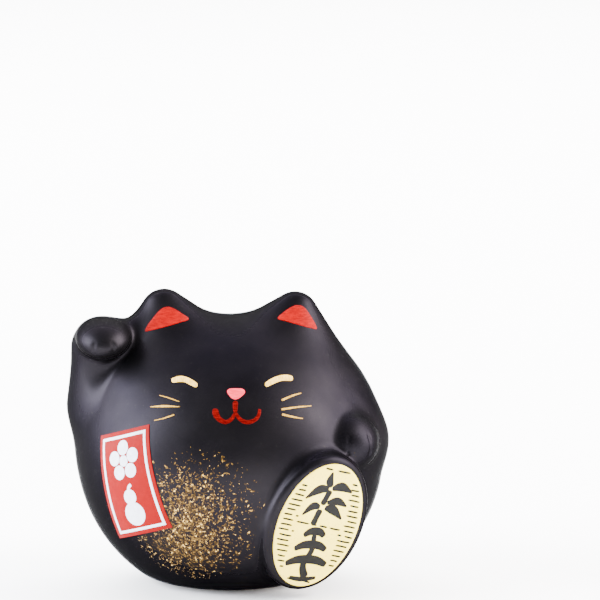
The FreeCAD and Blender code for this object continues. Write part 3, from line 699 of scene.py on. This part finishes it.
# ---------------------------------------------------------------- red label
# azimuth, pitch and roll in degrees
LABEL_TURN = (-35.5, 0.0, 17.0)
LABEL_SIZE = (12.5, 19.0)
LABEL_SKEW = math.tan(math.radians(6.0))
LABEL_TAPER = 0.0095
LABEL_SHIFT = -5.0
LABEL_STANDOFF = 45.0
LABEL_THICKNESS = 0.13
PRINT_THICKNESS = 0.018


def label_plate():
    """The label's plane, well in front of the body, at the height of its CAD piece."""
    plate = Plate((0.0, 0.0, cad_middle("fortune_label")[2]), *LABEL_TURN)
    azimuth = math.radians(LABEL_TURN[0])
    level = np.array([math.cos(azimuth), math.sin(azimuth), 0.0])
    plate.middle = plate.middle + level * LABEL_SHIFT + plate.out * LABEL_STANDOFF
    return plate


def rectangle_sheet(width, height, rows=44, columns=30):
    """A paper rectangle with an upright cut edge."""
    across = np.concatenate([[-1.0, -1.0], np.linspace(-0.985, 0.985, columns), [1.0, 1.0]])
    upward = np.concatenate([[-1.0, -1.0], np.linspace(-0.99, 0.99, rows), [1.0, 1.0]])
    grid_x, grid_y = np.meshgrid(across * width / 2.0, upward * height / 2.0)
    lift = np.ones_like(grid_x)
    lift[0] = lift[-1] = SUNK
    lift[:, 0] = lift[:, -1] = SUNK
    n = len(across)
    faces = [(i * n + j, i * n + j + 1, (i + 1) * n + j + 1, (i + 1) * n + j)
             for i in range(len(upward) - 1) for j in range(n - 1)]
    return np.stack([grid_x.ravel(), grid_y.ravel()], axis=1), lift.ravel(), faces


def straight(start, end, half_width):
    """A straight printed bar with square corners."""
    start, end = np.array(start, float), np.array(end, float)
    count = 30
    spine = start + (end - start) * np.linspace(0.0, 1.0, count)[:, None]
    along = (end - start) / np.linalg.norm(end - start)
    aside = np.array([-along[1], along[0]]) * half_width
    flat = np.stack([spine + aside * share for share in (-1.0, -0.9, 0.9, 1.0)], axis=1)
    lift = np.tile(np.array([0.0, 1.0, 1.0, 0.0]), (count, 1))
    faces = [(i * 4 + j, (i + 1) * 4 + j, (i + 1) * 4 + j + 1, i * 4 + j + 1)
             for i in range(count - 1) for j in range(3)]
    return flat.reshape(-1, 2), lift.reshape(-1), faces


def skewed(shapes):
    """Leans flat shapes over as the hand-stuck label leans, a little wider at its foot."""
    out = []
    for flat, lift, faces in shapes:
        x = flat[:, 0] * (1.0 - LABEL_TAPER * flat[:, 1]) + flat[:, 1] * LABEL_SKEW
        out.append((np.stack([x, flat[:, 1]], axis=1), lift, faces))
    return out


def frame_bars():
    """The printed border, a little inside the label's edge."""
    side_margin, end_margin, half_width = 1.05, 1.0, 0.26
    side, top = LABEL_SIZE[0] / 2.0 - side_margin, LABEL_SIZE[1] / 2.0 - end_margin
    corners = np.array([(-side, -top), (side, -top), (side, top), (-side, top)])
    bars = []
    for start, end in zip(corners, np.roll(corners, -1, axis=0)):
        reach = (end - start) / np.linalg.norm(end - start) * half_width
        bars.append(straight(start - reach, end + reach, half_width))
    return bars


def blossom_shapes():
    """A plum blossom: a round heart and five petals, each on a short twig."""
    heart = np.array([0.0, 4.2])
    shapes = [disc(heart, 1.0)]
    for k in range(5):
        turn = math.radians(90.0 + 72.0 * k)
        toward = np.array([math.cos(turn), math.sin(turn)])
        shapes.append(disc(heart + toward * 2.35, 1.3))
        shapes.append(stroke([heart, heart + toward * 0.9], [0.3, 0.3], 10))
    return shapes


def gourd_shapes():
    """A bottle gourd with a curved stalk."""
    return [disc((0.0, -5.6), 2.2), disc((0.0, -2.4), 1.4),
            stroke([(0.0, -4.6), (0.0, -3.4)], [0.8, 0.8], 14),
            stroke([(0.0, -1.6), (0.2, -0.7), (0.9, -0.2)], [0.36, 0.3, 0.36], 20)]


def build_label(red, white):
    plate = label_plate()
    sheet = lay("label_paper", skewed([rectangle_sheet(*LABEL_SIZE)]), plate, 0.0, LABEL_THICKNESS)
    finish_piece(sheet, red, "fortune_label")
    for name, shapes, node in (("label_border_print", frame_bars(), "label_frame_print"),
                               ("label_blossom_print", blossom_shapes(), "label_upper_motif"),
                               ("label_gourd_print", gourd_shapes(), "label_lower_motif")):
        piece = lay(name, skewed(shapes), plate, LABEL_THICKNESS, PRINT_THICKNESS)
        finish_piece(piece, white, node)


# ---------------------------------------------------------------- koban coin
def build_foil(gold):
    outline = ellipse((0.0, 0.0), FOIL_HALF, 160)
    shape = blob(outline, rings=(0.992, 0.95, 0.8, 0.6, 0.4, 0.2))
    piece = lay("koban_foil_sticker", [shape], KOBAN, 0.0, FOIL_THICKNESS, on_form=False)
    finish_piece(piece, gold, "koban_foil")


def build_hatch(ink, rng):
    """Slanting rows of dashes in from both edges, left out where the motifs stand."""
    margin = 0.4
    half_width, half_length = FOIL_HALF[0] - margin, FOIL_HALF[1] - margin
    last_row, pitch, slant = 11, 1.02, -0.15
    # each motif keeps motif_half free to both sides, from between_motifs up or down to motif_end
    motif_half, between_motifs, motif_end, clear_half = 4.7, 0.6, 11.0, 0.3
    shortest = 0.6
    shapes = []
    for row in range(-last_row, last_row + 1):
        height = row * pitch
        spread = (slant * half_width) ** 2 + half_length ** 2
        root = half_width * half_length * math.sqrt(max(spread - height ** 2, 0.0)) / spread
        middle = -height * slant * half_width ** 2 / spread
        beside_motif = between_motifs <= abs(height) <= motif_end
        room = motif_half if beside_motif else clear_half
        for side in (-1, 1):
            reach = side * middle + root - rng.uniform(0.0, 0.4)
            while reach > room + shortest:
                length = min(rng.uniform(1.9, 3.4), reach - room)
                spots = [(side * x, height + slant * side * x + rng.uniform(-0.05, 0.05))
                         for x in (reach, reach - length / 2, reach - length)]
                shapes.append(stroke(spots, [0.15, 0.18, 0.14], 10))
                reach = reach - length - rng.uniform(0.4, 0.7)
    piece = lay("koban_hatch_dashes", shapes, KOBAN, FOIL_THICKNESS, PRINT_THICKNESS * 0.5,
                on_form=False)
    finish_piece(piece, ink, "koban_hatch_print")


MOTIF_SIZE = 5.0


def motif_strokes(centre, drawing):
    """A drawing of (path, half widths) as strokes, its paths in shares of MOTIF_SIZE."""
    shapes = []
    for path, widths in drawing:
        spots = [(centre[0] + x * MOTIF_SIZE, centre[1] + y * MOTIF_SIZE) for x, y in path]
        shapes.append(stroke(spots, widths))
    return shapes


# a bamboo sprig: two joints of the stem, then its leaves
BAMBOO = [([(-0.30, -1.02), (-0.24, -0.70), (-0.16, -0.36)], [0.76, 0.61, 0.76]),
          ([(-0.14, -0.20), (-0.06, 0.12), (0.02, 0.42)], [0.73, 0.59, 0.71]),
          ([(-0.02, -0.30), (0.36, -0.36), (0.86, -0.74)], [0.43, 0.92, 0.15]),
          ([(0.02, -0.10), (0.45, -0.02), (0.92, -0.22)], [0.37, 0.81, 0.15]),
          ([(0.06, 0.46), (0.45, 0.56), (0.98, 0.34)], [0.43, 0.92, 0.15]),
          ([(-0.04, 0.42), (-0.45, 0.42), (-0.95, 0.04)], [0.43, 0.92, 0.15]),
          ([(-0.20, -0.30), (-0.52, -0.26), (-0.88, -0.62)], [0.37, 0.81, 0.15]),
          ([(0.02, 0.52), (-0.12, 0.78), (-0.10, 1.14)], [0.49, 0.76, 0.15])]


def pine_tier(height, reach, width):
    """One cloud-like tier of a pine's needles."""
    return ([(-reach, height - 0.16), (-reach * 0.4, height + 0.03), (reach * 0.4, height + 0.03),
             (reach, height - 0.16)], [width * 0.6, width, width, width * 0.6])


# a pine: its bent trunk, three tiers, then the ground
PINE = [([(0.14, -1.08), (-0.10, -0.55), (0.08, 0.05), (0.0, 0.72)], [0.88, 0.67, 0.59, 0.49]),
        pine_tier(0.78, 0.46, 0.78), pine_tier(0.24, 0.70, 0.82), pine_tier(-0.36, 0.90, 0.86),
        ([(-0.55, -1.06), (0.0, -1.12), (0.62, -1.04)], [0.37, 0.49, 0.32])]


def build_koban_motifs(ink):
    for name, centre, drawing, node in (
            ("koban_bamboo_print", (0.3, 5.1), BAMBOO, "koban_upper_motif"),
            ("koban_pine_print", (-0.2, -5.3), PINE, "koban_lower_motif")):
        piece = lay(name, motif_strokes(centre, drawing), KOBAN, FOIL_THICKNESS,
                    PRINT_THICKNESS * 0.6, on_form=False)
        finish_piece(piece, ink, node)


# ---------------------------------------------------------------- gold flecks
# clouds of spray as (count, offset from the CAD piece's middle, spread), in front view
FLECK_CLOUDS = ((850, (-3.2, -2.6), (2.8, 4.0)), (1050, (-1.6, -0.6), (4.6, 5.0)),
                (300, (-4.8, 4.0), (2.6, 3.0)), (560, (0.4, 1.0), (4.8, 6.4)),
                (380, (-5.5, -6.0), (3.6, 2.4)), (420, (-1.2, -8.2), (4.6, 2.2)))
# the middle and spread of the log of a flake's half width in millimetres, then the width's limits
FLECK_LOG_SIZE = (-2.68, 0.45)
FLECK_SIZES = (0.03, 0.20)
FLECK_STRETCH = (1.0, 3.8)
FLECK_CORNERS = 7
FLECK_EDGE_LIFT = 0.012
FLECK_MIDDLE_LIFT = 0.035


def fleck_places(rng):
    """Where the spray landed, in front view: a dense core low on one side of a looser cloud."""
    middle = cad_middle("gold_fleck_spray")[[0, 2]]
    spots = np.concatenate([
        middle + np.array(offset) + rng.normal(0.0, 1.0, (count, 2)) * np.array(spread)
        for count, offset, spread in FLECK_CLOUDS])
    shift, half_sizes = (1.4, 0.0), (12.4, 13.2)
    away = np.linalg.norm((spots - middle + shift) / half_sizes, axis=1)
    return spots[away < 1.0]


def fleck_points(spot, normal, rng):
    """An irregular flake on the surface: its raised middle, then its corners."""
    size = float(np.clip(rng.lognormal(*FLECK_LOG_SIZE), *FLECK_SIZES))
    stretch = rng.uniform(*FLECK_STRETCH)
    side = np.cross(normal, (0.0, 0.0, 1.0))
    side = side / np.linalg.norm(side)
    rise = np.cross(side, normal)
    lean = rng.uniform(0.0, math.pi)
    major = side * math.cos(lean) + rise * math.sin(lean)
    minor = rise * math.cos(lean) - side * math.sin(lean)
    bend = rng.uniform(-0.5, 0.5) * size
    points = [spot + normal * FLECK_MIDDLE_LIFT]
    for k in range(FLECK_CORNERS):
        turn = 2.0 * math.pi * k / FLECK_CORNERS
        radius = size * rng.uniform(0.6, 1.15)
        along = math.cos(turn) * radius * stretch
        sideways = math.sin(turn) * radius + bend * (along / (size * stretch)) ** 2
        points.append(spot + major * along + minor * sideways + normal * FLECK_EDGE_LIFT)
    return points


def build_flecks(material):
    rng = np.random.default_rng(17)
    spots = land(FRONT.world(fleck_places(rng)), -FRONT.out)
    across, up, _ = KOBAN.local(spots)
    gap = 0.7
    spots = spots[np.hypot(across / (BOSS_HALF[0] + gap), up / (BOSS_HALF[1] + gap)) > 1.0]
    points, faces = [], []
    for spot, normal in zip(spots, outward_at(spots)):
        start = len(points)
        points += fleck_points(spot, normal, rng)
        faces += [(start, start + 1 + k, start + 1 + (k + 1) % FLECK_CORNERS)
                  for k in range(FLECK_CORNERS)]
    finish_piece(mesh_object("gold_flecks", points, faces), material,
                 "gold_fleck_spray")


# ---------------------------------------------------------------- stage, lights and camera
def stage_material():
    shader = Shader("pale_floor", (0.90, 0.90, 0.90), 0.75, Specular_IOR_Level=0.2)
    shader.drive("Base Color", shader.mix(shader.band(shader.noise(6.0), 0.3, 0.7),
                                          (0.89, 0.89, 0.90), (0.91, 0.91, 0.91)))
    return shader.material


def build_stage():
    """A pale floor that curves up into a backdrop."""
    near, far, bend, top, half_width = -3.0, 1.2, 0.8, 3.5, 4.0
    turns = [math.radians(degrees) for degrees in range(10, 91, 10)]
    depths = [near, far] + [far + bend * math.sin(turn) for turn in turns] + [far + bend]
    heights = [0.0, 0.0] + [bend - bend * math.cos(turn) for turn in turns] + [top]
    points = [(x / MM, y / MM, z / MM) for y, z in zip(depths, heights)
              for x in (-half_width, half_width)]
    faces = [(2 * k, 2 * k + 1, 2 * k + 3, 2 * k + 2) for k in range(len(depths) - 1)]
    floor = mesh_object("pale_backdrop", points, faces)
    floor.data.materials.append(stage_material())


def add_area(name, place, target, size, power, color):
    """A rectangular lamp that faces its target, in metres and watts."""
    light = bpy.data.lights.new(name, "AREA")
    light.shape = "RECTANGLE"
    light.size, light.size_y = size
    light.energy = power
    light.color = color
    lamp = bpy.data.objects.new(name, light)
    lamp.location = place
    lamp.rotation_euler = (Vector(target) - Vector(place)).to_track_quat("-Z", "Y").to_euler()
    bpy.context.collection.objects.link(lamp)


def build_lights():
    """Large soft panels left and right, a broad one over the floor behind, and a dim white world."""
    middle, panel, world_strength = (0.0, 0.0, 0.03), (0.5, 0.7), 0.45
    add_area("left_softbox", (-0.64, -0.04, 0.20), middle, panel, 60.0, (0.90, 0.93, 1.0))
    add_area("right_softbox", (0.63, -0.04, 0.32), middle, panel, 46.0, (1.0, 0.94, 0.91))
    add_area("back_softbox", (0.0, 0.75, 0.85), (0.0, 0.55, 0.0), (1.8, 0.9), 165.0, WHITE)
    world = bpy.data.worlds.new("studio_world")
    world.use_nodes = True
    background = world.node_tree.nodes["Background"]
    background.inputs["Color"].default_value = (*WHITE, 1.0)
    background.inputs["Strength"].default_value = world_strength
    bpy.context.scene.world = world


def build_camera():
    """A long lens, 13 degrees above level and 2 degrees to the cat's right."""
    azimuth, elevation, distance = math.radians(2.1), math.radians(13.0), 0.89
    # where the lens points, in body heights from the origin across and up the picture
    aim_right, aim_up = 0.243, 0.963
    back = Vector((-math.sin(azimuth) * math.cos(elevation),
                   -math.cos(azimuth) * math.cos(elevation), math.sin(elevation)))
    right = Vector((math.cos(azimuth), -math.sin(azimuth), 0.0))
    up = back.cross(right)
    height = (BODY_HIGH[2] - BODY_LOW[2]) * MM
    target = right * height * aim_right + up * height * aim_up
    camera_data = bpy.data.cameras.new("studio_camera")
    camera_data.sensor_width = 36.0
    camera_data.lens = 287.0
    camera_data.clip_start, camera_data.clip_end = 0.01, 20.0
    camera = bpy.data.objects.new("studio_camera", camera_data)
    camera.location = back * distance
    camera.rotation_euler = (target - camera.location).to_track_quat("-Z", "Y").to_euler()
    bpy.context.collection.objects.link(camera)
    bpy.context.scene.camera = camera


def build_face(red, gold, whisker_gold, pink, mouth):
    for side_name in ("right", "left"):
        build_ear_paint(side_name, red)
        build_eye(side_name, gold)
        build_whiskers(side_name, whisker_gold)
    build_nose(pink)
    build_mouth(mouth)


build_body()
build_face(brushed_paint("red_ear_paint", (0.22, 0.0007, 0.0008), (0.13, 0.0005, 0.0006), 0.42),
           brushed_paint("gold_eye_paint", (0.74, 0.48, 0.12), (0.50, 0.30, 0.03), 0.42, 0.1,
                         stretch=(5.0, 1.0, 1.0)),
           brushed_paint("gold_whisker_paint", (0.46, 0.27, 0.04), (0.26, 0.14, 0.02), 0.42, 0.1,
                         stretch=(5.0, 1.0, 1.0)),
           brushed_paint("pink_nose_paint", (0.64, 0.035, 0.060), (0.48, 0.018, 0.034), 0.45),
           brushed_paint("red_mouth_paint", (0.105, 0.0015, 0.0012), (0.040, 0.0008, 0.0008), 0.40))
build_label(printed_paper("red_label_paper", (0.15, 0.0007, 0.0009)),
            printed_paper("white_label_print", (0.56, 0.59, 0.66)))
build_foil(koban_gold())
KOBAN_INK = black_ink()
build_hatch(KOBAN_INK, np.random.default_rng(5))
build_koban_motifs(KOBAN_INK)
build_flecks(fleck_gold())
build_stage()
build_lights()
build_camera()
